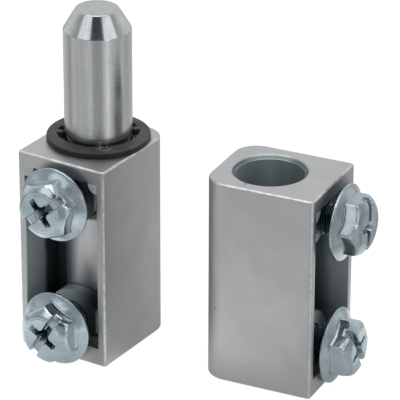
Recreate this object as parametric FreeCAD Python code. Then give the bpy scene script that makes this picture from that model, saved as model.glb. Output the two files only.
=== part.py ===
"""Lift-off cabinet hinge in two halves: a pin half and a socket half, each with two clamping screws.

Frame, in millimetres: the origin is on the pin's axis at the foot of the pin half, +Z runs up the pin,
and -Y is the way the pin half's screw face looks. The socket half stands beside it, lifted off.
Every block is drawn in its own block frame first: bore axis at x = 0, y = 0, foot at z = 0,
screw face looking along -Y.
"""
import FreeCAD, Part
import math
import os

V = FreeCAD.Vector

# Block
block_width = 15.0
block_height = 31.5
nose_radius = 3.6
corner_radius = 0.5
edge_round = 0.35

# Pocket in the screw face
pocket_width = 12.5
roof_wall = 2.2
floor_wall = 2.9
pin_pocket_depth = 8.2
socket_pocket_depth = 5.5
post_radius = 1.6

# Screw bosses and their tapped holes
pin_half_lower_height = 5.3
pin_half_upper_drop = 6.2
socket_half_lower_height = 5.7
socket_half_upper_drop = 5.8
boss_diameter = 8.8
boss_setback = 2.8
tapped_depth = 7.0

# Pin and bore
pin_diameter = 10.0
pin_rise = 20.5
pin_cone_height = 3.1
pin_top_diameter = 6.3
pin_edge_round = 0.25
pin_foot_chamfer = 0.5
pin_seat_clearance = 0.02
washer_groove_depth = 0.3
bore_clearance = 0.05
bore_depth = 22.5
bore_wall = 1.35
mouth_chamfer = 0.6

# Thrust washer
washer_overhang = 0.15
washer_thickness = 0.9
washer_hole_clearance = 0.1
washer_edge_round = 0.2
relief_depth = 1.3
relief_shift = 1.2
relief_start = 52.0
relief_end = 97.0
notch_centre = 113.0
notch_half_angle = 7.0
washer_front = -52.0

# Flange screw, M5 by 6
thread_diameter = 5.0
thread_clearance = 0.05
thread_tip_chamfer = 0.6
screw_length = 6.0
screw_tip_clearance = 0.3
hex_flats = 8.0
flange_diameter = 11.3
flange_rim = 0.45
flange_rise = 0.5
flange_edge_round = 0.15
head_height = 4.0
land_diameter = 6.9
head_chamfer_height = 0.65
slot_width = 1.25
slot_depth = 0.9
slot_to_hex = 24.5
cross_span = 5.0
cross_arm = 0.95
cross_depth = 2.3
cross_foot_span = 2.0
cross_foot_arm = 0.6

# Where the socket half stands, and how far it is turned about its bore from the pin half's heading
socket_x = 26.96
socket_y = 3.91
socket_turn = 96.8

# Gap left under each flange for the clamped sheet, and each slot's angle seen from the front
pin_half_lower_gap = 1.4
pin_half_upper_gap = 1.3
socket_half_lower_gap = 0.5
socket_half_upper_gap = 1.65
pin_half_lower_slot = 59.0
pin_half_upper_slot = 39.5
socket_half_lower_slot = 121.5
socket_half_upper_slot = 84.0

# Worked-out sizes
half_width = block_width / 2
pocket_half = pocket_width / 2
pocket_top = block_height - roof_wall
pin_radius = pin_diameter / 2
groove_radius = pin_radius - washer_groove_depth
axis_setback = pin_radius + screw_tip_clearance + screw_length - pin_half_upper_gap
block_depth = axis_setback + half_width
face_y = -axis_setback
bore_radius = pin_radius + bore_clearance
washer_top = block_height + washer_thickness
washer_radius = half_width + washer_overhang
pin_half_heights = (pin_half_lower_height, block_height - pin_half_upper_drop)
socket_half_heights = (socket_half_lower_height, block_height - socket_half_upper_drop)
hole_radius = thread_diameter / 2
shank_radius = hole_radius - thread_clearance
flange_radius = flange_diameter / 2


def rod(radius, start, direction, length):
    """Round bar from a point along a direction."""
    return Part.makeCylinder(radius, length, start, direction)


def turned(profile):
    """Solid of revolution about Z from a closed list of (radius, height) points."""
    points = [V(r, 0, z) for r, z in profile]
    wire = Part.makePolygon(points + points[:1])
    return Part.Face(wire).revolve(V(0, 0, 0), V(0, 0, 1), 360)


def upright(edge):
    """True for a straight edge along Z."""
    ends = [vertex.Point for vertex in edge.Vertexes]
    return len(ends) == 2 and math.hypot(ends[0].x - ends[1].x, ends[0].y - ends[1].y) < 1e-6


def blank():
    """Outside of a block: rounded nose corners, small corners at the screw face, broken edges."""
    body = Part.makeBox(block_width, block_depth, block_height, V(-half_width, face_y, 0))
    nose_y = face_y + block_depth
    nose = [e for e in body.Edges if upright(e) and abs(e.CenterOfMass.y - nose_y) < 1e-6]
    body = body.makeFillet(nose_radius, nose)
    front = [e for e in body.Edges if upright(e) and abs(e.CenterOfMass.y - face_y) < 1e-6]
    body = body.makeFillet(corner_radius, front)
    ends = []
    for edge in body.Edges:
        heights = [vertex.Point.z for vertex in edge.Vertexes]
        level = max(heights) - min(heights) < 1e-6
        if level:
            ends.append(edge)
    return body.makeFillet(edge_round, ends)


def pocket(depth, screw_heights):
    """Space cut into the screw face: a box less two corner posts and two screw bosses."""
    rise = pocket_top - floor_wall
    space = Part.makeBox(pocket_width, depth, rise, V(-pocket_half, face_y, floor_wall))
    into = V(0, 1, 0)
    for side in (-1, 1):
        post = rod(post_radius, V(side * pocket_half, face_y, pocket_top), into, depth)
        space = space.cut(post)
    for height in screw_heights:
        start = V(0, face_y + boss_setback, height)
        space = space.cut(rod(boss_diameter / 2, start, into, depth))
    return space


def tapped_holes(screw_heights):
    """The two screw holes, from the screw face inwards."""
    lower, upper = (rod(hole_radius, V(0, face_y, height), V(0, 1, 0), tapped_depth)
                    for height in screw_heights)
    return lower.fuse(upper)


def pin_block():
    """Block of the pin half: the pocket is deep enough to show the pin that stands in it."""
    body = blank().cut(pocket(pin_pocket_depth, pin_half_heights))
    seat = rod(pin_radius + pin_seat_clearance, V(0, 0, floor_wall), V(0, 0, 1), block_height)
    return body.cut(seat).cut(tapped_holes(pin_half_heights))


def socket_block():
    """Block of the socket half: a blind bore with a chamfered mouth, and a pocket that leaves its wall whole."""
    wall = rod(bore_radius + bore_wall, V(0, 0, 0), V(0, 0, 1), block_height)
    body = blank().cut(pocket(socket_pocket_depth, socket_half_heights).cut(wall))
    bore = rod(bore_radius, V(0, 0, block_height - bore_depth), V(0, 0, 1), bore_depth)
    mouth_radius = bore_radius + mouth_chamfer
    mouth = Part.makeCone(bore_radius, mouth_radius, mouth_chamfer, V(0, 0, block_height - mouth_chamfer))
    return body.cut(bore).cut(mouth).cut(tapped_holes(socket_half_heights))


def hinge_pin():
    """Turned pin: a groove that holds the thrust washer, and a coned top with a flat."""
    top = block_height + pin_rise
    shoulder = top - pin_cone_height
    pin = turned([
        (0, floor_wall),
        (pin_radius - pin_foot_chamfer, floor_wall),
        (pin_radius, floor_wall + pin_foot_chamfer),
        (pin_radius, block_height),
        (groove_radius, block_height),
        (groove_radius, washer_top),
        (pin_radius, washer_top),
        (pin_radius, shoulder),
        (pin_top_diameter / 2, top),
        (0, top),
    ])
    rims = [e for e in pin.Edges if e.Closed and e.BoundBox.ZMin > shoulder - 1e-3]
    return pin.makeFillet(pin_edge_round, rims)


def sector(radius, start, end, height):
    """Pie slice of a disc between two angles, from z = 0 up."""
    ends = [V(radius * math.cos(math.radians(a)), radius * math.sin(math.radians(a)), 0) for a in (start, end)]
    middle = math.radians((start + end) / 2)
    arc = Part.Arc(ends[0], V(radius * math.cos(middle), radius * math.sin(middle), 0), ends[1]).toShape()
    sides = [Part.LineSegment(V(0, 0, 0), ends[0]).toShape(), Part.LineSegment(ends[1], V(0, 0, 0)).toShape()]
    return Part.Face(Part.Wire([sides[0], arc, sides[1]])).extrude(V(0, 0, height))


def thrust_washer():
    """Plastic washer in the pin's groove: two crescent reliefs and two small notches let its hole stretch."""
    disc = Part.makeCylinder(washer_radius, washer_thickness)
    disc = disc.makeFillet(washer_edge_round, [e for e in disc.Edges if e.Closed])
    hole_edge = groove_radius + washer_hole_clearance
    disc = disc.cut(Part.makeCylinder(hole_edge, washer_thickness))
    back = math.radians(washer_front + 180)
    shifted = V(relief_shift * math.cos(back), relief_shift * math.sin(back), 0)
    relief_radius = hole_edge + relief_depth - relief_shift * math.cos(math.radians(relief_end)) / 2
    crescent = Part.makeCylinder(relief_radius, washer_thickness, shifted)
    for side in (-1, 1):
        angles = sorted((washer_front + side * relief_start, washer_front + side * relief_end))
        disc = disc.cut(crescent.common(sector(2 * washer_radius, *angles, washer_thickness)))
        centre = washer_front + side * notch_centre
        notch = sector(hole_edge + relief_depth, centre - notch_half_angle, centre + notch_half_angle,
                       washer_thickness)
        disc = disc.cut(notch)
    disc.translate(V(0, 0, block_height))
    return disc


def hex_prism(flats, height):
    """Hexagonal bar on z = 0 with a corner on +X."""
    radius = flats / math.sqrt(3)
    corners = [V(radius * math.cos(math.radians(60 * i)), radius * math.sin(math.radians(60 * i)), 0)
               for i in range(6)]
    return Part.Face(Part.makePolygon(corners + corners[:1])).extrude(V(0, 0, height))


def cross_outline(span, arm, z):
    """Outline of a plus sign: overall span and width of an arm, at a height."""
    s = span / 2
    a = arm / 2
    quarter = [(s, -a), (s, a), (a, a)]
    points = []
    for turn in range(4):
        c, n = ((1, 0), (0, 1), (-1, 0), (0, -1))[turn]
        points.extend(V(c * x - n * y, n * x + c * y, z) for x, y in quarter)
    return Part.makePolygon(points + points[:1])


def flange_screw():
    """Hexagon flange screw with a cross recess and a slot: seat at z = 0, head up, slot along X."""
    corner = hex_flats / math.sqrt(3)
    hex_foot = flange_rim + flange_rise
    flange = turned([
        (0, 0),
        (flange_radius, 0),
        (flange_radius, flange_rim),
        (corner, hex_foot),
        (0, hex_foot),
    ])
    rim = [e for e in flange.Edges if e.Closed and abs(e.BoundBox.XMax - flange_radius) < 1e-3]
    flange = flange.makeFillet(flange_edge_round, rim)
    crown = turned([
        (0, 0),
        (corner, 0),
        (corner, head_height - head_chamfer_height),
        (land_diameter / 2, head_height),
        (0, head_height),
    ])
    hexagon = hex_prism(hex_flats, head_height).common(crown)
    hexagon.rotate(V(0, 0, 0), V(0, 0, 1), -slot_to_hex)
    shank = turned([
        (0, -screw_length),
        (shank_radius - thread_tip_chamfer, -screw_length),
        (shank_radius, -screw_length + thread_tip_chamfer),
        (shank_radius, 0),
        (0, 0),
    ])
    slot = Part.makeBox(2 * flange_radius, slot_width, slot_depth,
                        V(-flange_radius, -slot_width / 2, head_height - slot_depth))
    cross = Part.makeLoft([
        cross_outline(cross_foot_span, cross_foot_arm, head_height - cross_depth),
        cross_outline(cross_span, cross_arm, head_height),
    ], True, True)
    screw = flange.fuse(hexagon).fuse(shank).removeSplitter()
    return screw.cut(slot).cut(cross)


def seated_screw(height, gap, slot_angle):
    """A flange screw turned to its slot angle and set in a block's screw face, in the block frame."""
    screw = flange_screw()
    screw.rotate(V(0, 0, 0), V(0, 0, 1), slot_angle)
    screw.rotate(V(0, 0, 0), V(1, 0, 0), 90)
    screw.translate(V(0, face_y - gap, height))
    return screw


def beside(shape):
    """Move a shape from the block frame to where the socket half stands."""
    shape.rotate(V(0, 0, 0), V(0, 0, 1), socket_turn)
    shape.translate(V(socket_x, socket_y, 0))
    return shape


def all_parts():
    """Every piece by name."""
    pin_low, pin_high = pin_half_heights
    socket_low, socket_high = socket_half_heights
    return {
        "pin_block": pin_block(),
        "hinge_pin": hinge_pin(),
        "thrust_washer": thrust_washer(),
        "pin_half_lower_screw": seated_screw(pin_low, pin_half_lower_gap, pin_half_lower_slot),
        "pin_half_upper_screw": seated_screw(pin_high, pin_half_upper_gap, pin_half_upper_slot),
        "socket_block": beside(socket_block()),
        "socket_half_lower_screw": beside(
            seated_screw(socket_low, socket_half_lower_gap, socket_half_lower_slot)),
        "socket_half_upper_screw": beside(
            seated_screw(socket_high, socket_half_upper_gap, socket_half_upper_slot)),
    }


os.makedirs("parts", exist_ok=True)
for node, shape in all_parts().items():
    print(node, shape.isValid(), len(shape.Solids), round(shape.Volume, 1))
    shape.exportStep("parts/" + node + ".step")
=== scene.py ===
"""Looks of a lift-off cabinet hinge: a pin half and a socket half, side by side on a pale floor.

The two cast blocks are the fixed model's own shapes, welded, with the mouths of their pockets softened. The
pin, the washer and the four flange screws are surfaces worked out here, where the fixed model has its own.
"""
import logging
import math
from dataclasses import dataclass
from enum import Enum
from functools import reduce

import bmesh
import bpy
import numpy as np
from mathutils import Matrix, Vector


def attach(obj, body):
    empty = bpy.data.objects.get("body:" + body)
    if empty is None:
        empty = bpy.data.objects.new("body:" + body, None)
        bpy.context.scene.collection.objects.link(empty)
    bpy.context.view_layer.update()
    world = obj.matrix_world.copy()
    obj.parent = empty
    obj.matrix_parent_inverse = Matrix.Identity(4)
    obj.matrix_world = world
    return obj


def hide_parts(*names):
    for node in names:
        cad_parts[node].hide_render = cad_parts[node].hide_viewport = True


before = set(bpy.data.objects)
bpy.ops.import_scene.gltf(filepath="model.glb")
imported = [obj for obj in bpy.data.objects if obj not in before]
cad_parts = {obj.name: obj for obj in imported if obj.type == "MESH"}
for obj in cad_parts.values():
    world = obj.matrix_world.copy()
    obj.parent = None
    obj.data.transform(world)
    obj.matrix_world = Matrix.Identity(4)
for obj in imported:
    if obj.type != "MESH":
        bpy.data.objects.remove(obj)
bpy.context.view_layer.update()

MM = 0.001
WELD_STEP = 2e-7
log = logging.getLogger("hinge")

Colour = tuple[float, float, float]
Point = tuple[float, float]
Socket = bpy.types.NodeSocket


class Slot(Enum):
    """The material slots of the record."""

    CAST_ZINC = "cast_zinc"
    BRIGHT_STEEL = "bright_steel"
    PLATED_STEEL = "plated_steel"
    BLACK_PLASTIC = "black_plastic"


# Mesh tools

def smooth_step(edge_low: float, edge_high: float, values: np.ndarray) -> np.ndarray:
    """Cubic ramp from 0 to 1.

    Formula: t is the value's share of the way from the low edge to the high edge, kept in 0..1; the result is
    t squared times (3 less 2 t).

    Args:
        edge_low: Value where the ramp is 0.
        edge_high: Value where the ramp is 1.
        values: Values to look up.

    Returns:
        The ramp at each value.
    """
    t = np.clip((values - edge_low) / (edge_high - edge_low), 0.0, 1.0)
    return t * t * (3.0 - 2.0 * t)


def arc(centre: Point, radius: float, start: float, end: float, steps: int) -> list[Point]:
    """Points of a circular arc in the (radius, height) plane.

    Formula: centre plus radius times (cosine, sine) of an angle that runs evenly from start to end.

    Args:
        centre: Centre of the arc, in mm.
        radius: Radius of the arc, in mm.
        start: First angle, in degrees.
        end: Last angle, in degrees.
        steps: Number of points.

    Returns:
        The points, first to last.
    """
    angles = np.radians(np.linspace(start, end, steps))
    return list(zip(centre[0] + radius * np.cos(angles), centre[1] + radius * np.sin(angles)))


def headings(columns: int) -> np.ndarray:
    """Angle of each column, in radians, evenly round a full turn."""
    return np.arange(columns) * (2.0 * math.pi / columns)


def spread(rows: tuple[object, ...], columns: int) -> np.ndarray:
    """Rows of a grid, where a row that is one number is repeated over its columns."""
    return np.array([np.broadcast_to(row, columns) for row in rows])


def outwards(heading: float, height: float) -> Vector:
    """Unit vector away from the object.

    Formula: (sine h cosine e, minus cosine h cosine e, sine e), with h the heading and e the height.

    Args:
        heading: Heading, in degrees, 0 towards -Y and 90 towards +X.
        height: Angle above the horizon, in degrees.

    Returns:
        The vector.
    """
    h, e = math.radians(heading), math.radians(height)
    return Vector((math.sin(h) * math.cos(e), -math.cos(h) * math.cos(e), math.sin(e)))


def shade(colour: Colour, factor: float) -> Colour:
    """A colour times a factor."""
    return tuple(part * factor for part in colour)


def placed(name: str, data: bpy.types.ID, where: Vector, back: Vector, roll: Matrix) -> bpy.types.Object:
    """Put a camera or a lamp in the scene.

    Args:
        name: Name of the object.
        data: Its camera or light.
        where: Its place, in metres.
        back: Unit vector against the way it looks.
        roll: Its roll.

    Returns:
        The object.
    """
    item = bpy.data.objects.new(name, data)
    bpy.context.scene.collection.objects.link(item)
    item.location = where
    item.rotation_mode = "QUATERNION"
    item.rotation_quaternion = ((-back).to_track_quat("-Z", "Y").to_matrix() @ roll).to_quaternion()
    return item


def wall(values: np.ndarray, ends: tuple[float, float]) -> np.ndarray:
    """Share of the depth where a leaning wall passes: 0 at its size at the top, 1 at its size at the foot."""
    return (ends[0] - values) / (ends[0] - ends[1])


def new_mesh(name: str, points: np.ndarray, corners: np.ndarray, sides: np.ndarray) -> bpy.types.Object:
    """Make an object from arrays, smooth shaded.

    Args:
        name: Name of the object and its mesh.
        points: Vertex places in metres, one row each.
        corners: Vertex number of each face corner, face after face.
        sides: Number of corners of each face.

    Returns:
        The object, at the origin.
    """
    mesh = bpy.data.meshes.new(name)
    mesh.vertices.add(len(points))
    mesh.vertices.foreach_set("co", np.ascontiguousarray(points, dtype=np.float32).ravel())
    mesh.loops.add(len(corners))
    mesh.loops.foreach_set("vertex_index", corners.astype(np.int32))
    mesh.polygons.add(len(sides))
    mesh.polygons.foreach_set("loop_start", (np.cumsum(sides) - sides).astype(np.int32))
    mesh.polygons.foreach_set("use_smooth", np.ones(len(sides), dtype=bool))
    mesh.update(calc_edges=True)
    mesh.validate()
    piece = bpy.data.objects.new(name, mesh)
    bpy.context.scene.collection.objects.link(piece)
    return piece


def grid_faces(rows: int, columns: int, ring: bool) -> tuple[np.ndarray, np.ndarray]:
    """Faces of a grid that is closed round its columns.

    Formula: the face at row i, column j joins (i, j), (i, j+1), (i+1, j+1), (i+1, j), with columns counted
    round, and rows too if the grid is a ring. Otherwise the first and last rows close in a fan to a pole,
    whose vertices come after the grid's own.

    Args:
        rows: Number of rows.
        columns: Number of columns.
        ring: True if the last row joins the first.

    Returns:
        Corner numbers, face after face, and the number of corners of each face.
    """
    row = np.arange(rows if ring else rows - 1)[:, None]
    column = np.arange(columns)[None, :]
    after = (column + 1) % columns
    above = (row + 1) % rows
    quads = np.stack([row * columns + column, row * columns + after, above * columns + after,
                      above * columns + column], axis=-1).reshape(-1, 4)
    if ring:
        return quads.ravel(), np.full(len(quads), 4)
    column, after = column.ravel(), after.ravel()
    foot_pole = np.full(columns, rows * columns)
    top = (rows - 1) * columns
    foot = np.stack([foot_pole, after, column], axis=-1)
    head = np.stack([foot_pole + 1, top + column, top + after], axis=-1)
    corners = np.concatenate([quads.ravel(), foot.ravel(), head.ravel()])
    return corners, np.concatenate([np.full(len(quads), 4), np.full(2 * columns, 3)])


def revolved(name: str, rows: list[tuple[object, object]], columns: int, place: "Stand",
             ring: bool = False) -> bpy.types.Object:
    """A surface carried round the Z axis, whose radius and height may change with the angle.

    Formula: the point of row i, column j is (radius cos a, radius sin a, height), with a = 360 degrees
    times j over the number of columns; the stand then sets it in place.

    Args:
        name: Name of the object.
        rows: Radius and height of each row, in mm, from foot to top: a number, or one value a column.
        columns: Number of columns.
        place: Where the surface stands.
        ring: True for a closed cross-section, which needs no poles.

    Returns:
        The object.
    """
    radii, heights = (spread(values, columns) for values in zip(*rows))
    angles = headings(columns)
    points = np.stack([radii * np.cos(angles), radii * np.sin(angles), heights], axis=-1).reshape(-1, 3)
    if not ring:
        poles = np.array([[0.0, 0.0, heights[0].mean()], [0.0, 0.0, heights[-1].mean()]])
        points = np.concatenate([points, poles])
    corners, sides = grid_faces(len(rows), columns, ring)
    return new_mesh(name, place.metres(points), corners, sides)


def welded_copy(node: str, name: str) -> bpy.types.Object:
    """Copy a node of the fixed model, with its loose triangles welded and its flat faces joined.

    Formula: corners that round to the same step are one vertex, then vertices within ten steps are joined.

    Args:
        node: Name of the node.
        name: Name of the copy.

    Returns:
        The copy.
    """
    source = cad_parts[node].data
    points = np.empty(len(source.vertices) * 3, dtype=np.float32)
    source.vertices.foreach_get("co", points)
    source.calc_loop_triangles()
    triangles = np.empty(len(source.loop_triangles) * 3, dtype=np.int32)
    source.loop_triangles.foreach_get("vertices", triangles)
    points = points.reshape(-1, 3)
    steps = np.round(points / WELD_STEP).astype(np.int64)
    _, first, numbers = np.unique(steps, axis=0, return_index=True, return_inverse=True)
    piece = new_mesh(name, points[first], numbers.ravel()[triangles], np.full(len(triangles) // 3, 3))
    shape = bmesh.new()
    shape.from_mesh(piece.data)
    bmesh.ops.remove_doubles(shape, verts=shape.verts, dist=10 * WELD_STEP)
    bmesh.ops.dissolve_limit(shape, angle_limit=math.radians(0.3), verts=shape.verts, edges=shape.edges)
    shape.to_mesh(piece.data)
    shape.free()
    return piece


# Places

@dataclass(frozen=True)
class Stand:
    """Where a piece stands in the row's frame.

    Attributes:
        x: Place of the block's bore axis, in mm.
        y: Place of the block's bore axis, in mm.
        turn: Turn of the block about its bore axis, in degrees.
        spin: Turn of a screw about its own axis, in degrees.
        seat: Place of a screw's seat in the block's frame, in mm, or None for a piece that stands upright.
    """

    x: float = 0.0
    y: float = 0.0
    turn: float = 0.0
    spin: float = 0.0
    seat: tuple[float, float, float] | None = None

    def unplaced(self) -> Matrix:
        """Matrix from the row's frame to the block's own frame, in metres."""
        return (Matrix.Rotation(math.radians(-self.turn), 4, "Z")
                @ Matrix.Translation((-self.x * MM, -self.y * MM, 0.0)))

    def matrix(self) -> Matrix:
        """Matrix from the piece's own frame to the row's frame.

        Returns:
            The matrix, in mm.
        """
        upright = Matrix.Translation((self.x, self.y, 0.0)) @ Matrix.Rotation(math.radians(self.turn), 4, "Z")
        if self.seat is None:
            return upright
        spin = Matrix.Rotation(math.radians(self.spin), 4, "Z")
        return upright @ Matrix.Translation(self.seat) @ Matrix.Rotation(math.radians(90.0), 4, "X") @ spin

    def metres(self, points: np.ndarray) -> np.ndarray:
        """Set points in place.

        Args:
            points: Points in the piece's own frame, in mm.

        Returns:
            The points in the row's frame, in metres.
        """
        matrix = np.array(self.matrix())
        return (points @ matrix[:3, :3].T + matrix[:3, 3]) * MM


# Shader tools

class Shader:
    """Short calls to fill a material's or a group's node tree."""

    def __init__(self, tree: bpy.types.NodeTree) -> None:
        """Keep the tree that is filled."""
        self.tree = tree

    def node(self, kind: str, **settings: object) -> bpy.types.Node:
        """Add a node and set its fields.

        Args:
            kind: Type name of the node.
            **settings: Field values by name.

        Returns:
            The node.
        """
        node = self.tree.nodes.new(kind)
        for field, value in settings.items():
            setattr(node, field, value)
        return node

    def join(self, source: Socket, target: Socket) -> None:
        """Link two sockets."""
        self.tree.links.new(source, target)

    def feed(self, owner: bpy.types.Node, values: dict[object, object]) -> None:
        """Link or set inputs of a node.

        Args:
            owner: The node.
            values: What each input takes, by its name or number: a socket to link, or else a value.
        """
        for key, value in values.items():
            if isinstance(value, Socket):
                self.join(value, owner.inputs[key])
            else:
                owner.inputs[key].default_value = value

    def math(self, operation: str, *values: object) -> Socket:
        """A Math node.

        Args:
            operation: What it works out.
            *values: One, two or three sockets or numbers.

        Returns:
            The result.
        """
        node = self.node("ShaderNodeMath", operation=operation)
        self.feed(node, dict(enumerate(values)))
        return node.outputs[0]

    def times(self, *values: object) -> Socket:
        """The values multiplied."""
        return reduce(lambda first, second: self.math("MULTIPLY", first, second), values)

    def most(self, *values: object) -> Socket:
        """The largest of the values."""
        return reduce(lambda first, second: self.math("MAXIMUM", first, second), values)

    def plus(self, base: object, *parts: tuple[object, float]) -> Socket:
        """A base plus a share of each part, given as pairs of a value and its share."""
        return reduce(lambda total, part: self.math("MULTIPLY_ADD", *part, total), parts, base)

    def vector(self, operation: str, *values: object) -> Socket:
        """A Vector Math node.

        Args:
            operation: What it works out.
            *values: One or two sockets or vectors.

        Returns:
            The vector, or the number for a length or a dot product.
        """
        node = self.node("ShaderNodeVectorMath", operation=operation)
        self.feed(node, dict(enumerate(values)))
        return node.outputs["Value" if operation in ("LENGTH", "DOT_PRODUCT") else "Vector"]

    def towards(self, vector: Socket, heading: float) -> Socket:
        """How far a place lies towards a heading, in degrees, 0 towards -Y and 90 towards +X."""
        return self.vector("DOT_PRODUCT", vector, tuple(outwards(heading, 0.0)))

    def split(self, vector: Socket) -> tuple[Socket, Socket, Socket]:
        """The coordinates of a vector.

        Args:
            vector: The vector.

        Returns:
            Its three numbers.
        """
        node = self.node("ShaderNodeSeparateXYZ")
        self.join(vector, node.inputs[0])
        return tuple(node.outputs)

    def length(self, x: Socket, y: Socket) -> Socket:
        """Distance from the origin of a plane.

        Args:
            x: First coordinate.
            y: Second coordinate.

        Returns:
            The distance.
        """
        node = self.node("ShaderNodeCombineXYZ")
        self.feed(node, {0: x, 1: y})
        return self.vector("LENGTH", node.outputs[0])

    def ramp(self, value: object, low: float, high: float, out_low: float = 0.0, out_high: float = 1.0,
             smooth: bool = True) -> Socket:
        """A Map Range node, clamped.

        Args:
            value: Value to map.
            low: Input that gives out_low.
            high: Input that gives out_high.
            out_low: Output at low.
            out_high: Output at high.
            smooth: True for a smooth step, False for straight.

        Returns:
            The mapped value.
        """
        node = self.node("ShaderNodeMapRange", interpolation_type="SMOOTHSTEP" if smooth else "LINEAR")
        self.feed(node, dict(enumerate((value, low, high, out_low, out_high))))
        return node.outputs[0]

    def ramp_mm(self, value: object, low: float, high: float, out_low: float = 0.0,
                out_high: float = 1.0) -> Socket:
        """A smooth ramp of a length, with low and high in mm."""
        return self.ramp(value, low * MM, high * MM, out_low, out_high)

    def noise(self, vector: object, scale: object, detail: float, roughness: float,
              distortion: float = 0.0) -> Socket:
        """A Noise Texture's Factor.

        Args:
            vector: Coordinates, in metres.
            scale: Features per metre.
            detail: Octaves.
            roughness: Strength of each finer octave.
            distortion: Warp of the pattern.

        Returns:
            The factor, round 0.5.
        """
        node = self.node("ShaderNodeTexNoise")
        self.feed(node, {"Vector": vector, "Scale": scale, "Detail": detail, "Roughness": roughness,
                         "Distortion": distortion})
        return node.outputs[0]

    def patches(self, vector: object, scale: object, detail: float, roughness: float, low: float, high: float,
                out_low: float = 0.0, out_high: float = 1.0) -> Socket:
        """A noise spread over a ramp from low to high."""
        return self.ramp(self.noise(vector, scale, detail, roughness), low, high, out_low, out_high)

    def mix(self, factor: object, first: object, second: object) -> Socket:
        """A colour mix.

        Args:
            factor: Share of the second colour.
            first: The first colour, a socket or three numbers.
            second: The second colour, the same.

        Returns:
            The colour.
        """
        node = self.node("ShaderNodeMix", data_type="RGBA")
        self.feed(node, {"Factor": factor})
        for number, colour in ((6, first), (7, second)):
            self.feed(node, {number: colour if isinstance(colour, Socket) else (*colour, 1.0)})
        return node.outputs[2]

    def coats(self, base: object, *layers: tuple[object, object]) -> Socket:
        """Colours laid over a base, given as pairs of a factor and a colour, lowest first."""
        return reduce(lambda under, layer: self.mix(layer[0], under, layer[1]), layers, base)

    def place(self, move: tuple[float, ...] = (0.0, 0.0, 0.0), turn: float = 0.0,
              scale: tuple[float, ...] = (1.0, 1.0, 1.0)) -> Socket:
        """Object coordinates moved, turned about Z and scaled.

        Args:
            move: Move, in metres, done last.
            turn: Turn about Z, in degrees.
            scale: Scale on each axis, done first.

        Returns:
            The coordinates.
        """
        mapping = self.node("ShaderNodeMapping")
        self.feed(mapping, {"Vector": self.node("ShaderNodeTexCoord").outputs["Object"], "Location": move,
                            "Rotation": (0.0, 0.0, math.radians(turn)), "Scale": scale})
        return mapping.outputs[0]

    def relief(self, principled: bpy.types.Node, height: Socket, strength: float, depth: float) -> None:
        """Turn a height into small bumps.

        Args:
            principled: The shader that shows them.
            height: The height, round 0 to 1.
            strength: Strength of the bumps.
            depth: Depth of a height of 1, in metres.
        """
        bump = self.node("ShaderNodeBump")
        self.feed(bump, {"Strength": strength, "Distance": depth, "Height": height})
        self.join(bump.outputs[0], principled.inputs["Normal"])


def group_tree(name: str, inputs: dict[str, object],
               outputs: tuple[str, ...]) -> tuple[Shader, object, bpy.types.Node]:
    """Make an empty shader group with its sockets.

    Args:
        name: Name of the group.
        inputs: Value of each input by name: None for a vector, else a number.
        outputs: Names of the outputs, all numbers.

    Returns:
        The shader to fill, the sockets that give the inputs, and the group's output node.
    """
    tree = bpy.data.node_groups.new(name, "ShaderNodeTree")
    for label, value in inputs.items():
        kind = "NodeSocketVector" if value is None else "NodeSocketFloat"
        socket = tree.interface.new_socket(label, in_out="INPUT", socket_type=kind)
        if value is not None:
            socket.default_value = value
    for label in outputs:
        tree.interface.new_socket(label, in_out="OUTPUT", socket_type="NodeSocketFloat")
    shader = Shader(tree)
    return shader, shader.node("NodeGroupInput").outputs, shader.node("NodeGroupOutput")


def rubbed_and_highlit_edges_group() -> bpy.types.NodeTree:
    """Mask of the outer edges of a box, patchy, for metal rubbed brighter there and for a painted highlight.

    Formula: each axis gives how far the point is outside the box's half size, a value that is 0 on a face and
    below 0 inside. The middle one of the three is minus the distance to the nearest edge. It is mapped from
    minus Width to 0 and multiplied by a noise.

    Returns:
        The group.
    """
    inputs = {"Vector": None, "Centre": None, "Half": None, "Width": 0.0006}
    shader, given, sink = group_tree("rubbed_and_highlit_edges", inputs, ("Mask",))
    away = shader.vector("ABSOLUTE", shader.vector("SUBTRACT", given["Vector"], given["Centre"]))
    x, y, z = shader.split(shader.vector("SUBTRACT", away, given["Half"]))
    middle = shader.most(shader.math("MINIMUM", x, y), shader.math("MINIMUM", shader.most(x, y), z))
    near = shader.ramp(middle, shader.times(given["Width"], -1.0), 0.0)
    patches = shader.patches(given["Vector"], 700.0, 4.0, 0.65, 0.38, 0.58, 0.25)
    shader.feed(sink, {"Mask": shader.times(near, patches)})
    return shader.tree


def grain_group() -> bpy.types.NodeTree:
    """Fine grain and broad blotches of a metal surface.

    Formula: Height is a fine noise plus a share of one four times as coarse; Blotch is a broad warped noise,
    spread over 0..1.

    Returns:
        The group.
    """
    inputs = {"Vector": None, "Fine": 4000.0, "Broad": 160.0}
    shader, given, sink = group_tree("grain", inputs, ("Height", "Blotch"))
    fine = shader.noise(given["Vector"], given["Fine"], 2.0, 0.6)
    coarse = shader.noise(given["Vector"], shader.times(given["Fine"], 0.25), 3.0, 0.6)
    broad = shader.noise(given["Vector"], given["Broad"], 4.0, 0.55, 0.6)
    shader.feed(sink, {"Height": shader.plus(fine, (coarse, 0.8)), "Blotch": shader.ramp(broad, 0.3, 0.7)})
    return shader.tree


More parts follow.
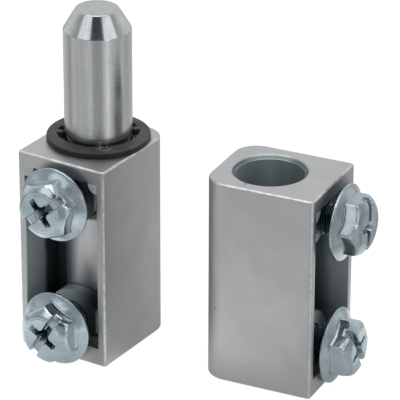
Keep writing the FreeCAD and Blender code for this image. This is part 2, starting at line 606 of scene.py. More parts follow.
def scratches_group() -> bpy.types.NodeTree:
    """Thin handling scratches, as a mask.

    Formula: a warped noise is close to its middle value only on thin wavy lines; a broad noise keeps them to
    patches.

    Returns:
        The group.
    """
    shader, given, sink = group_tree("scratches", {"Vector": None, "Scale": 300.0, "Amount": 0.5}, ("Mask",))
    lines = shader.noise(given["Vector"], given["Scale"], 5.0, 0.7, 1.5)
    thin = shader.ramp(shader.math("ABSOLUTE", shader.math("SUBTRACT", lines, 0.5)), 0.0, 0.012, 1.0, 0.0)
    patch = shader.patches(given["Vector"], shader.times(given["Scale"], 0.35), 2.0, 0.5, 0.45, 0.62)
    shader.feed(sink, {"Mask": shader.times(thin, patch, given["Amount"])})
    return shader.tree


class Effects:
    """The shared shader groups, built once."""

    def __init__(self) -> None:
        """Build the groups."""
        self.rubbed_and_highlit_edges = rubbed_and_highlit_edges_group()
        self.grain = grain_group()
        self.scratches = scratches_group()

    def use(self, shader: Shader, tree: bpy.types.NodeTree, **values: object) -> object:
        """Place a group in a material.

        Args:
            shader: Shader of the material.
            tree: The group.
            **values: Sockets or values of its inputs by name.

        Returns:
            The sockets that it puts out, by name.
        """
        node = shader.node("ShaderNodeGroup", node_tree=tree)
        shader.feed(node, values)
        return node.outputs


def started(name: str) -> tuple[bpy.types.Material, Shader, bpy.types.Node]:
    """A material with its shader ready.

    Args:
        name: Name of the material.

    Returns:
        The material, its shader tools and its Principled BSDF node.
    """
    material = bpy.data.materials.new(name)
    material.use_nodes = True
    principled = next(n for n in material.node_tree.nodes if n.type == "BSDF_PRINCIPLED")
    return material, Shader(material.node_tree), principled


# Finishes

@dataclass(frozen=True)
class CastZinc:
    """Satin die-cast zinc: fine grain, soft blotches, rubbed edges with a painted highlight, small pits, and
    painted shade in the pocket, on the bore and on the screw face.

    Attributes:
        colour: Colour of the open faces.
        edge: Colour of the rubbed edges: partly wear, partly a painted highlight.
        bored: Colour of the machined bore.
        walled: Colour of the pocket's walls.
        shade_colour: Colour of the pits, and of the painted shade in the pocket, on the bore and round the
            upper seat.
        roughness: Roughness of the open faces.
        bored_roughness: Roughness of the machined bore.
        dulling: Loss of the metallic share on the pocket's walls and in the bore.
        edge_width: Width of the rubbed edges, in metres.
        relief: Strength and depth, in metres, of the grain and the pits.
    """

    colour: Colour = (0.50, 0.505, 0.51)
    edge: Colour = (0.80, 0.805, 0.81)
    bored: Colour = (0.70, 0.78, 0.80)
    walled: Colour = (0.44, 0.505, 0.525)
    shade_colour: Colour = (0.065, 0.082, 0.090)
    roughness: float = 0.42
    bored_roughness: float = 0.30
    dulling: tuple[float, float] = (0.6, 0.22)
    edge_width: float = 0.00042
    relief: tuple[float, float] = (0.35, 0.00004)

    def pocket(self, shader: Shader, here: Socket, block: "Block") -> tuple[Socket, Socket]:
        """Where the pocket is, and how much painted shade it has there.

        Formula: the pocket is the product of ramps at its sides, back, roof and floor. Its painted shade
        is the larger of a tone that sets in with the depth, and the posts' tone, which grows towards +X.

        Args:
            shader: Shader of the material.
            here: Coordinates in the block's own frame.
            block: The block.

        Returns:
            The two masks.
        """
        side, depth, height = shader.split(here)
        aside = shader.math("ABSOLUTE", side)
        inside = shader.times(
            shader.ramp_mm(aside, block.pocket_half + 0.01, block.pocket_half + 0.03, 1.0, 0.0),
            shader.ramp_mm(depth, block.pocket_back + 0.05, block.pocket_back + 0.15, 1.0, 0.0),
            shader.ramp_mm(height, block.pocket_top - 0.1, block.pocket_top + 0.05, 1.0, 0.0),
            shader.ramp_mm(height, block.pocket_floor - 0.05, block.pocket_floor + 0.1))
        waver = shader.plus(depth, (shader.noise(here, 260.0, 3.0, 0.5), 0.0012))
        # Painted shade: darker deep in the pocket, and on the screw posts, more towards +X.
        deep = shader.ramp_mm(waver, *block.pocket_deep, 0.0, block.pocket_tone)
        post = shader.times(
            shader.ramp_mm(aside, block.post_half, block.post_half + 0.1, 1.0, 0.0),
            shader.ramp_mm(depth, block.face_y + 2.2, block.face_y + 2.6, 0.0, block.post_tone),
            shader.ramp_mm(side, -0.4, 3.6))
        return inside, shader.most(deep, post)

    def bore(self, shader: Shader, here: Socket, block: "Block") -> tuple[Socket, Socket]:
        """Where the bore is, and how much painted shade its lead-in and one of its sides have.

        Args:
            shader: Shader of the material.
            here: Coordinates in the block's own frame.
            block: The block.

        Returns:
            The two masks.
        """
        side, depth, height = shader.split(here)
        out = shader.length(side, depth)
        bore = shader.times(shader.ramp_mm(out, block.bore_mouth - 0.03, block.bore_mouth - 0.01, 1.0, 0.0),
                            shader.ramp_mm(height, 8.0, 9.0))
        # Painted shade on the bore's lead-in, less at its outer edge.
        near, far = block.rim_tones
        rim = shader.times(bore, shader.ramp_mm(out, block.bore + 0.01, block.bore + 0.05),
                           shader.ramp_mm(shader.towards(here, block.rim_heading), -5.2, -2.9, far, near),
                           shader.ramp_mm(out, block.bore_mouth - 0.15, block.bore_mouth - 0.11, 1.0, 0.25))
        # Painted shade on one side of the bore.
        heading, tone = block.shaded_bore_side
        bore_side_shade = shader.ramp_mm(shader.towards(here, heading), 0.2, 4.6, 0.0, tone)
        return bore, shader.most(rim, shader.times(bore, bore_side_shade))

    def screw_face(self, shader: Shader, here: Socket, block: "Block") -> tuple[Socket, Socket]:
        """Painted shade on one side of the screw face, and painted shadow round its upper screw.

        Args:
            shader: Shader of the material.
            here: Coordinates in the block's own frame.
            block: The block.

        Returns:
            The two masks.
        """
        side, depth, height = shader.split(here)
        # Painted shade, darker towards +X on the screw face.
        face_shade = shader.times(shader.ramp_mm(depth, block.face_y + 0.1, block.face_y + 0.6, 1.0, 0.0),
                               shader.ramp_mm(side, 3.5, 6.3, 0.0, block.face_shade_tone))
        # Painted shadow on the screw face round the upper screw's seat.
        seat, tone = block.seat_shade
        out = shader.plus(shader.length(side, shader.math("SUBTRACT", height, seat * MM)),
                          (shader.noise(here, 300.0, 2.0, 0.5), 0.002))
        seat_shadow = shader.times(shader.ramp_mm(depth, block.face_y + 0.1, block.face_y + 0.4, 1.0, 0.0),
                             shader.ramp_mm(out, 6.2, 8.6, tone, 0.0))
        return face_shade, seat_shadow

    def material(self, name: str, effects: Effects, block: "Block") -> bpy.types.Material:
        """Build the material for one block.

        Args:
            name: Name of the material.
            effects: The shared groups.
            block: The block that it is for, whose size places the edges and the pocket.

        Returns:
            The material.
        """
        material, shader, principled = started(name)
        back, turn = tuple(block.stand.unplaced().translation), -block.stand.turn
        here = shader.place(back, turn)
        grain = effects.use(shader, effects.grain, Vector=here, Fine=5200.0, Broad=150.0)
        # Rubbed edges, brighter: partly wear, partly a painted highlight along the edges.
        edges = effects.use(shader, effects.rubbed_and_highlit_edges, Vector=here, Centre=block.centre(),
                            Half=block.half(), Width=self.edge_width)["Mask"]
        scuffs = effects.use(shader, effects.scratches, Vector=here, Scale=210.0, Amount=0.35)["Mask"]
        inside, pocket_shade = self.pocket(shader, here, block)
        bore, bore_dark = self.bore(shader, here, block)
        face_shade, seat_shadow = self.screw_face(shader, here, block)
        pits = shader.patches(here, 620.0, 1.0, 0.4, 0.80, 0.84)
        # The pits' own dark, and painted shade in the pocket, on the bore and round the upper screw.
        dark = shader.most(shader.times(inside, pocket_shade), shader.times(pits, 0.6), bore_dark, seat_shadow)
        along = shader.place(back, turn, (1.0, 1.0, 0.05))
        drawn = shader.patches(along, 420.0, 3.0, 0.6, 0.35, 0.65, 0.0, 0.35)
        bored = shader.mix(drawn, self.bored, shade(self.bored, 0.6))
        # Includes painted shade towards +X on the screw face, and a painted highlight on the rubbed edges.
        colour = shader.coats(self.colour, (shader.times(grain["Blotch"], 0.55), shade(self.colour, 0.90)),
                              (face_shade, shade(self.colour, 0.5)), (edges, self.edge),
                              (scuffs, shade(self.colour, 1.25)), (inside, self.walled), (bore, bored),
                              (dark, self.shade_colour))
        dull = shader.most(shader.times(inside, shader.math("SUBTRACT", 1.0, pocket_shade), self.dulling[0]),
                           shader.times(bore, self.dulling[1]))
        rough = shader.plus(self.roughness, (grain["Blotch"], 0.06), (edges, -0.08),
                            (bore, self.bored_roughness - self.roughness), (dark, 0.15))
        shader.feed(principled, {"Base Color": colour, "Metallic": shader.math("SUBTRACT", 1.0, dull),
                                 "Roughness": rough})
        shader.relief(principled, shader.plus(grain["Height"], (pits, -2.5)), *self.relief)
        return material


@dataclass(frozen=True)
class BrightSteel:
    """Bright drawn steel: streaks along the pin, faint turning marks across it, a dull part in the block
    with painted shadow on it.

    Attributes:
        colour: Colour of the clean steel.
        streak: Colour of the darker streaks.
        dull: Colour of the part inside the block.
        painted_shadow: Colour of the painted shadow on the pin in the block: low on its +X side, and its
            upper part.
        shine: Colour in the scratches.
        roughness: Roughness of the clean steel.
        relief: Strength and depth, in metres, of the streaks and the turning marks.
    """

    colour: Colour = (0.54, 0.555, 0.56)
    streak: Colour = (0.37, 0.385, 0.39)
    dull: Colour = (0.66, 0.665, 0.67)
    painted_shadow: Colour = (0.12, 0.13, 0.135)
    shine: Colour = (0.8, 0.81, 0.82)
    roughness: float = 0.16
    relief: tuple[float, float] = (0.28, 0.00004)

    def material(self, name: str, effects: Effects, pin: "Pin") -> bpy.types.Material:
        """Build the material for the pin.

        Args:
            name: Name of the material.
            effects: The shared groups.
            pin: The pin that it is for, whose size places the marks.

        Returns:
            The material.
        """
        material, shader, principled = started(name)
        plain = shader.place()
        along, across = shader.place(scale=(1.0, 1.0, 0.035)), shader.place(scale=(0.03, 0.03, 1.0))
        streaks = shader.patches(along, 700.0, 4.0, 0.6, 0.38, 0.66)
        broad = shader.patches(along, 230.0, 2.0, 0.5, 0.35, 0.65)
        turning = shader.noise(across, 7000.0, 3.0, 0.6)
        marks = shader.times(shader.ramp(turning, 0.5, 0.7),
                             shader.patches(plain, 240.0, 2.0, 0.5, 0.48, 0.62))
        grain = effects.use(shader, effects.grain, Vector=plain, Fine=7000.0, Broad=260.0)
        nicks = effects.use(shader, effects.scratches, Vector=along, Scale=420.0, Amount=0.5)["Mask"]
        side, _, height = shader.split(plain)
        in_block = shader.ramp_mm(height, pin.groove_low - 0.6, pin.groove_low - 0.3, 1.0, 0.0)
        # Painted shadow on the pin in the block: low down on its +X side, and from 20.8 mm up.
        cloud = shader.plus(height, (shader.noise(plain, 300.0, 3.0, 0.5), 0.006))
        low = shader.times(shader.ramp_mm(cloud, 11.5, 16.5, 1.0, 0.0), shader.ramp_mm(side, -1.0, 2.2), 0.75)
        pin_shadow = shader.times(in_block, shader.most(low, shader.ramp_mm(height, 20.3, 20.8)))
        rim = shader.ramp_mm(height, pin.top - 0.06, pin.top - 0.02, 0.0, 0.45)
        cone = shader.ramp_mm(height, pin.shoulder - 0.2, pin.shoulder)
        colour = shader.coats(self.colour, (shader.times(streaks, 0.5), self.streak),
                              (shader.times(broad, 0.35), shade(self.colour, 1.15)),
                              (shader.times(marks, 0.55), self.streak), (nicks, self.shine),
                              (in_block, self.dull), (rim, self.streak), (pin_shadow, self.painted_shadow))
        rough = shader.plus(self.roughness, (streaks, 0.06), (marks, 0.10), (in_block, 0.28), (cone, -0.03),
                            (grain["Blotch"], 0.04))
        shader.feed(principled, {"Base Color": colour, "Metallic": 1.0, "Roughness": rough})
        lines = shader.plus(turning, (streaks, 0.3), (marks, 0.3))
        shader.relief(principled, shader.times(lines, shader.plus(1.0, (cone, -0.85))), *self.relief)
        return material


@dataclass(frozen=True)
class PlatedSteel:
    """Bluish bright zinc plating, cloudy, duller on the trimmed flats, with painted shade deep in the recess,
    round the hexagon's foot and on the thread.

    Attributes:
        colour: Colour of the plating.
        cloud: Colour of its bluer patches.
        trimmed: Colour of the hexagon's trimmed flats.
        shade_colour: Colour of the painted shade deep in the recess, round the hexagon's foot and on the
            thread.
        shine: Colour in the scratches.
        roughness: Roughness of the plating.
        relief: Strength and depth, in metres, of the grain and the dents.
    """

    colour: Colour = (0.52, 0.60, 0.64)
    cloud: Colour = (0.36, 0.46, 0.51)
    trimmed: Colour = (0.54, 0.60, 0.64)
    shade_colour: Colour = (0.07, 0.11, 0.14)
    shine: Colour = (0.82, 0.85, 0.87)
    roughness: float = 0.13
    relief: tuple[float, float] = (0.3, 0.00003)

    def material(self, name: str, effects: Effects, screw: "FlangeScrew") -> bpy.types.Material:
        """Build the material for one screw.

        Args:
            name: Name of the material.
            effects: The shared groups.
            screw: The screw that it is for, whose place the painted shade on the thread follows.

        Returns:
            The material.
        """
        material, shader, principled = started(name)
        inverse = screw.stand.matrix().inverted()
        plain = shader.place()
        over_seat = shader.math("ADD", shader.vector("DOT_PRODUCT", plain, tuple(inverse.to_3x3()[2])),
                                inverse.translation[2] * MM)
        grain = effects.use(shader, effects.grain, Vector=plain, Fine=6000.0, Broad=380.0)
        nicks = effects.use(shader, effects.scratches, Vector=plain, Scale=520.0, Amount=0.45)["Mask"]
        trimmed, recess = (shader.node("ShaderNodeAttribute", attribute_name=mask).outputs["Fac"]
                           for mask in ("trimmed", "recess"))
        # A factor below 1 darkens this screw's copy of the plating: painted shade.
        plating, cloud, trim = (shade(colour, screw.plating_shade)
                                for colour in (self.colour, self.cloud, self.trimmed))
        # Painted shade on the thread under the flange, deep in the recess and round the hexagon's foot.
        colour = shader.coats(plating, (shader.times(grain["Blotch"], 0.7), cloud), (nicks, self.shine),
                              (shader.ramp_mm(over_seat, -0.4, -0.1, 0.96, 0.0), shade(self.shade_colour, 0.6)),
                              (trimmed, shader.mix(grain["Blotch"], trim, shade(trim, 0.85))),
                              (recess, self.shade_colour))
        thread = shader.ramp_mm(over_seat, -0.6, 0.0, 0.16, 0.0)
        rough = shader.math("ADD", shader.plus(self.roughness, (grain["Blotch"], 0.07)), thread)
        shader.feed(principled, {"Base Color": colour, "Metallic": 1.0,
                                 "Roughness": shader.plus(rough, (trimmed, 0.10), (recess, 0.25))})
        dents = shader.noise(plain, 560.0, 2.0, 0.5, 0.5)
        shader.relief(principled, shader.plus(grain["Height"], (dents, 6.5)), *self.relief)
        return material


@dataclass(frozen=True)
class BlackPlastic:
    """Matt black moulded plastic with pale scuffs where the pin's burr has dragged over it.

    Attributes:
        colour: Colour of the plastic.
        scuff: Colour of the scuffs.
        shadow: Colour of the painted shade on its outer wall and painted shadow of a gap round its hole.
        roughness: Roughness of the clean plastic.
        gloss: Specular level.
        scuff_angle: Angle of the scuffs round the pin, in degrees.
        drag: Heading along which the scuffs are dragged, in degrees.
        relief: Strength and depth, in metres, of the grain and the scuffs.
    """

    colour: Colour = (0.034, 0.034, 0.036)
    scuff: Colour = (0.42, 0.41, 0.42)
    shadow: Colour = (0.006, 0.006, 0.007)
    roughness: float = 0.42
    gloss: float = 0.30
    scuff_angle: float = -48.0
    drag: float = 42.0
    relief: tuple[float, float] = (0.3, 0.00003)

    def material(self, name: str, effects: Effects, washer: "ThrustWasher") -> bpy.types.Material:
        """Build the material for the washer.

        Args:
            name: Name of the material.
            effects: The shared groups.
            washer: The washer that it is for, whose size places the scuffs.

        Returns:
            The material.
        """
        material, shader, principled = started(name)
        plain = shader.place()
        grain = effects.use(shader, effects.grain, Vector=plain, Fine=5000.0, Broad=300.0)
        angle = math.radians(self.scuff_angle)
        centre = (washer.scuff_radius * MM * math.cos(angle), washer.scuff_radius * MM * math.sin(angle),
                  washer.top * MM)
        away = shader.vector("LENGTH", shader.vector("SUBTRACT", plain, centre))
        specks = shader.noise(shader.place(turn=self.drag, scale=(1.0, 0.3, 1.0)), 1900.0, 5.0, 0.75, 2.2)
        wear = shader.times(shader.ramp_mm(away, 0.5, 1.5, 1.0, 0.0), shader.ramp(specks, 0.50, 0.60))
        rub = shader.times(shader.patches(plain, 420.0, 4.0, 0.6, 0.45, 0.75), 0.10)
        out = shader.vector("LENGTH", shader.vector("MULTIPLY", plain, (1.0, 1.0, 0.0)))
        # Painted shade on the outer wall, and painted shadow of a gap round the hole.
        wall = shader.ramp_mm(out, washer.radius - 0.12, washer.radius - 0.02)
        gap = shader.ramp_mm(out, 5.1, 5.5, 1.0, 0.0)
        shadow = shader.most(shader.times(wall, 0.75), shader.times(gap, 0.95))
        colour = shader.coats(self.colour, (shader.times(grain["Blotch"], 0.5), shade(self.colour, 1.5)),
                              (rub, self.scuff), (shadow, self.shadow), (wear, self.scuff))
        rough = shader.plus(self.roughness, (grain["Blotch"], 0.12), (gap, 0.5))
        shader.feed(principled, {"Base Color": colour, "Roughness": rough, "Specular IOR Level": self.gloss})
        shader.relief(principled, shader.plus(grain["Height"], (wear, 2.0)), *self.relief)
        return material


# Pieces

def finish_piece(piece: bpy.types.Object, material: bpy.types.Material, body: str, node: str) -> None:
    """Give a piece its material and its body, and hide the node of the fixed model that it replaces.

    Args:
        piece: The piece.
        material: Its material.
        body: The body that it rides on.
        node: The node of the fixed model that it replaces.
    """
    piece.data.materials.clear()
    piece.data.materials.append(material)
    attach(piece, body)
    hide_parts(node)
    log.info("%s: %d faces, rides on %s", piece.name, len(piece.data.polygons), body)


@dataclass(frozen=True)
class Block:
    """One cast block, with the mouth of its pocket softened.

    Attributes:
        node: Node that holds its shape.
        name: Name of the piece.
        body: Body that it rides on.
        stand: Where it stands.
        pocket_tone: Share of the dark colour deep in the pocket, as painted shade.
        pocket_deep: Places in its own frame between which that tone sets in, in mm.
        post_tone: Share of the dark colour on the screw posts in the pocket, as painted shade.
        rim_tones: Share of the dark colour on the near and far side of the bore's lead-in, as painted shade.
        rim_heading: Heading of the lead-in's near side in its own frame, in degrees.
        shaded_bore_side: Heading of the bore's shaded side in its own frame, in degrees, and share of the
            dark colour
        painted there as shade.
        face_shade_tone: Share of a darker colour towards +X on the screw face, as painted shade.
        seat_shade: Height of a screw's seat, in mm, and share of the dark colour on the screw face round it,
            as
        painted shadow.
        half_width: Half of its width, in mm.
        face_y: Place of its screw face in its own frame, in mm.
        height: Its height, in mm.
        pocket_half: Half of the pocket's width, in mm.
        pocket_back: Place of the pocket's floor in its own frame, in mm.
        pocket_floor: Height of the pocket's lower end, in mm.
        pocket_top: Height of the pocket's upper end, in mm.
        post_half: Half of the screw posts' width, in mm.
        bore: Radius of the bore, in mm.
        bore_mouth: Radius of the bore's mouth, in mm.
        soft_edge: Width of the softened edge of the pocket's mouth, in mm.
    """

    node: str
    name: str
    body: str
    stand: Stand
    pocket_tone: float = 0.93
    pocket_deep: tuple[float, float] = (-5.2, -3.9)
    post_tone: float = 0.92
    rim_tones: tuple[float, float] = (0.88, 0.70)
    rim_heading: float = 32.0
    shaded_bore_side: tuple[float, float] = (25.4, 0.46)
    face_shade_tone: float = 0.42
    seat_shade: tuple[float, float] = (25.3, 0.0)
    half_width: float = 7.5
    face_y: float = -10.0
    height: float = 31.5
    pocket_half: float = 6.25
    pocket_back: float = -1.8
    pocket_floor: float = 2.9
    pocket_top: float = 29.3
    post_half: float = 3.9
    bore: float = 5.05
    bore_mouth: float = 5.6
    soft_edge: float = 0.16

    def centre(self) -> tuple[float, float, float]:
        """Middle of the block in its own frame, in metres."""
        return (0.0, (self.face_y + self.half_width) / 2 * MM, self.height / 2 * MM)

    def half(self) -> tuple[float, float, float]:
        """Half sizes of the block, in metres."""
        return (self.half_width * MM, (self.half_width - self.face_y) / 2 * MM, self.height / 2 * MM)

    def mark_edges(self, piece: bpy.types.Object) -> None:
        """Weight the edges of the pocket's mouth for the bevel, and keep the other sharp edges sharp.

        Formula: an edge is sharp where its two faces meet at more than 35 degrees. It is one of the mouth
        where both its ends also lie in the plane of the screw face.

        Args:
            piece: The block's mesh.
        """
        own = self.stand.unplaced()
        shape = bmesh.new()
        shape.from_mesh(piece.data)
        weights = shape.edges.layers.float.new("bevel_weight_edge")
        for edge in shape.edges:
            in_face = all(abs((own @ end.co).y - self.face_y * MM) < 0.02 * MM for end in edge.verts)
            sharp = edge.calc_face_angle(0.0) > math.radians(35.0)
            edge[weights] = float(sharp and in_face)
            edge.smooth = in_face or not sharp
        shape.to_mesh(piece.data)
        shape.free()

    def build(self) -> bpy.types.Object:
        """Weld the node's triangles and soften the pocket's mouth.

        Returns:
            The block, without a material.
        """
        piece = welded_copy(self.node, self.name)
        self.mark_edges(piece)
        bevel = piece.modifiers.new("soft_edges", "BEVEL")
        bevel.width = self.soft_edge * MM
        bevel.segments = 3
        bevel.limit_method = "WEIGHT"
        bevel.use_clamp_overlap = False
        weighted = piece.modifiers.new("flat_faces", "WEIGHTED_NORMAL")
        weighted.mode = "FACE_AREA"
        weighted.weight = 100
        weighted.keep_sharp = True
        return piece

    def dress(self, effects: Effects, finish: CastZinc) -> None:
        """Build the block and give it its finish."""
        finish_piece(self.build(), finish.material(self.name + "_finish", effects, self), self.body,
                     self.node)


@dataclass(frozen=True)
class Pin:
    """The turned pin, from its foot in the block to its coned top.

    Attributes:
        foot: Height of its foot, in mm.
        radius: Its radius, in mm.
        foot_chamfer: Chamfer at its foot, in mm.
        groove_low: Lower end of the washer's groove, in mm.
        groove_high: Upper end of the groove, in mm.
        groove_radius: Radius in the groove, in mm.
        shoulder: Height where the cone starts, in mm.
        top: Height of the top, in mm.
        top_radius: Radius of the flat top, in mm.
        edge: Rounding of the cone's edges, in mm.
        columns: Number of points round it.
    """

    foot: float = 2.9
    radius: float = 5.0
    foot_chamfer: float = 0.5
    groove_low: float = 31.5
    groove_high: float = 32.4
    groove_radius: float = 4.7
    shoulder: float = 48.9
    top: float = 52.0
    top_radius: float = 3.15
    edge: float = 0.3
    columns: int = 256

    def profile(self) -> list[tuple[float, float]]:
        """Profile of the pin as (radius, height) points, in mm.

        Formula: straight runs, with each edge of the cone replaced by an arc that touches both of its runs;
        the arc's centre lies on the line that halves the angle between them.

        Returns:
            The points, from the middle of the foot to the middle of the top.
        """
        lean = math.degrees(math.atan2(self.radius - self.top_radius, self.top - self.shoulder))
        low_cut = self.edge * math.tan(math.radians(lean / 2))
        high_cut = self.edge * math.tan(math.radians((90.0 - lean) / 2))
        points = [(0.6, self.foot), (self.radius - self.foot_chamfer, self.foot),
                  (self.radius, self.foot + self.foot_chamfer)]
        points += [(self.radius, z)
                   for z in (self.foot + 0.6, 12.0, 22.0, self.groove_low - 0.03, self.groove_low)]
        points += [(self.groove_radius, z) for z in (self.groove_low + 0.01, self.groove_high - 0.01)]
        points += [(self.radius - 0.06, self.groove_high), (self.radius, self.groove_high + 0.06)]
        points += [(self.radius, z) for z in (33.0, 36.0, 40.0, 44.0, 48.0, self.shoulder - low_cut - 0.12)]
        points += arc((self.radius - self.edge, self.shoulder - low_cut), self.edge, 0.0, lean, 6)
        points += [(self.radius + (self.top_radius - self.radius) * t,
                    self.shoulder + (self.top - self.shoulder) * t) for t in np.linspace(0.12, 0.88, 5)]
        points += arc((self.top_radius - high_cut, self.top - self.edge), self.edge, lean, 90.0, 7)
        points += [(self.top_radius - high_cut - 0.15, self.top), (1.2, self.top), (0.3, self.top)]
        return points

    def dress(self, effects: Effects, finish: BrightSteel) -> None:
        """Build the pin and give it its finish.

        Args:
            effects: The shared groups.
            finish: The finish.
        """
        piece = revolved("steel_pin", self.profile(), self.columns, Stand())
        finish_piece(piece, finish.material("pin_finish", effects, self), "pin_half", "hinge_pin")


@dataclass(frozen=True)
class ThrustWasher:
    """The plastic washer, whose hole has two crescents and two notches.

    Attributes:
        radius: Outer radius, in mm.
        hole: Radius of the hole, in mm.
        foot: Height of its underside, in mm.
        top: Height of its top, in mm.
        edge: Rounding of its outer edges, in mm.
        hole_edge: Width of the hole's softened edge, in mm.
        front: Heading of its line of symmetry, in degrees.
        relief: Angles from the front where a crescent starts and ends, in degrees.
        relief_radius: Radius of the circle that cuts the crescents, in mm.
        relief_shift: How far that circle is off the axis, in mm.
        notch: Angle from the front of each notch, and half its width, in degrees.
        notch_radius: Radius that the notches reach, in mm.
        scuff_radius: Where the scuffs lie, in mm from the axis.
        columns: Number of points round it.
    """

    radius: float = 7.65
    hole: float = 4.8
    foot: float = 31.5
    top: float = 32.4
    edge: float = 0.2
    hole_edge: float = 0.06
    front: float = -52.0
    relief: tuple[float, float] = (52.0, 97.0)
    relief_radius: float = 6.173
    relief_shift: float = 1.2
    notch: tuple[float, float] = (113.0, 7.0)
    notch_radius: float = 6.1
    scuff_radius: float = 5.7
    columns: int = 900

    def hole_radii(self) -> np.ndarray:
        """Radius of the hole at each column.

        Formula: the plain radius; in a crescent, the distance along the ray to a circle whose centre is
        shifted away from the front, shift times cosine plus the root of (circle radius squared less (shift
        times sine) squared), with the angle measured from the shift; in a notch, the notch's radius.

        Returns:
            One radius a column, in mm.
        """
        off = (np.degrees(headings(self.columns)) - self.front + 180.0) % 360.0 - 180.0
        lean = np.radians(off + 180.0)
        crescent = (self.relief_shift * np.cos(lean)
                    + np.sqrt(self.relief_radius ** 2 - (self.relief_shift * np.sin(lean)) ** 2))
        radii = np.full(self.columns, self.hole)
        size = np.abs(off)
        in_relief = (size > self.relief[0]) & (size < self.relief[1])
        radii[in_relief] = np.maximum(crescent[in_relief], self.hole)
        radii[np.abs(size - self.notch[0]) < self.notch[1]] = self.notch_radius
        return radii

    def dress(self, effects: Effects, finish: BlackPlastic) -> None:
        """Build the washer and give it its finish.

        Formula: a closed cross-section, carried round: the outer wall with two arcs, the top, the hole's
        wall with a softened edge, and the underside. Each row of the flat faces is a share of the way from
        the wall to the hole.

        Args:
            effects: The shared groups.
            finish: The finish.
        """
        hole = self.hole_radii()
        outer = self.radius - self.edge
        flat = [outer + (hole - outer) * share for share in (0.04, 0.5, 0.94)]
        rows = arc((outer, self.foot + self.edge), self.edge, -90.0, 0.0, 5)
        rows += arc((outer, self.top - self.edge), self.edge, 0.0, 90.0, 6)
        rows += [(radii, self.top) for radii in flat]
        rows += [(hole + self.hole_edge - drop, self.top - drop)
                 for drop in (self.hole_edge / 4, self.hole_edge)]
        rows += [(hole, self.foot + 0.02)] + [(radii, self.foot) for radii in flat[::-1]]
        piece = revolved("plastic_washer", rows, self.columns, Stand(), ring=True)
        finish_piece(piece, finish.material("washer_finish", effects, self), "pin_half", "thrust_washer")


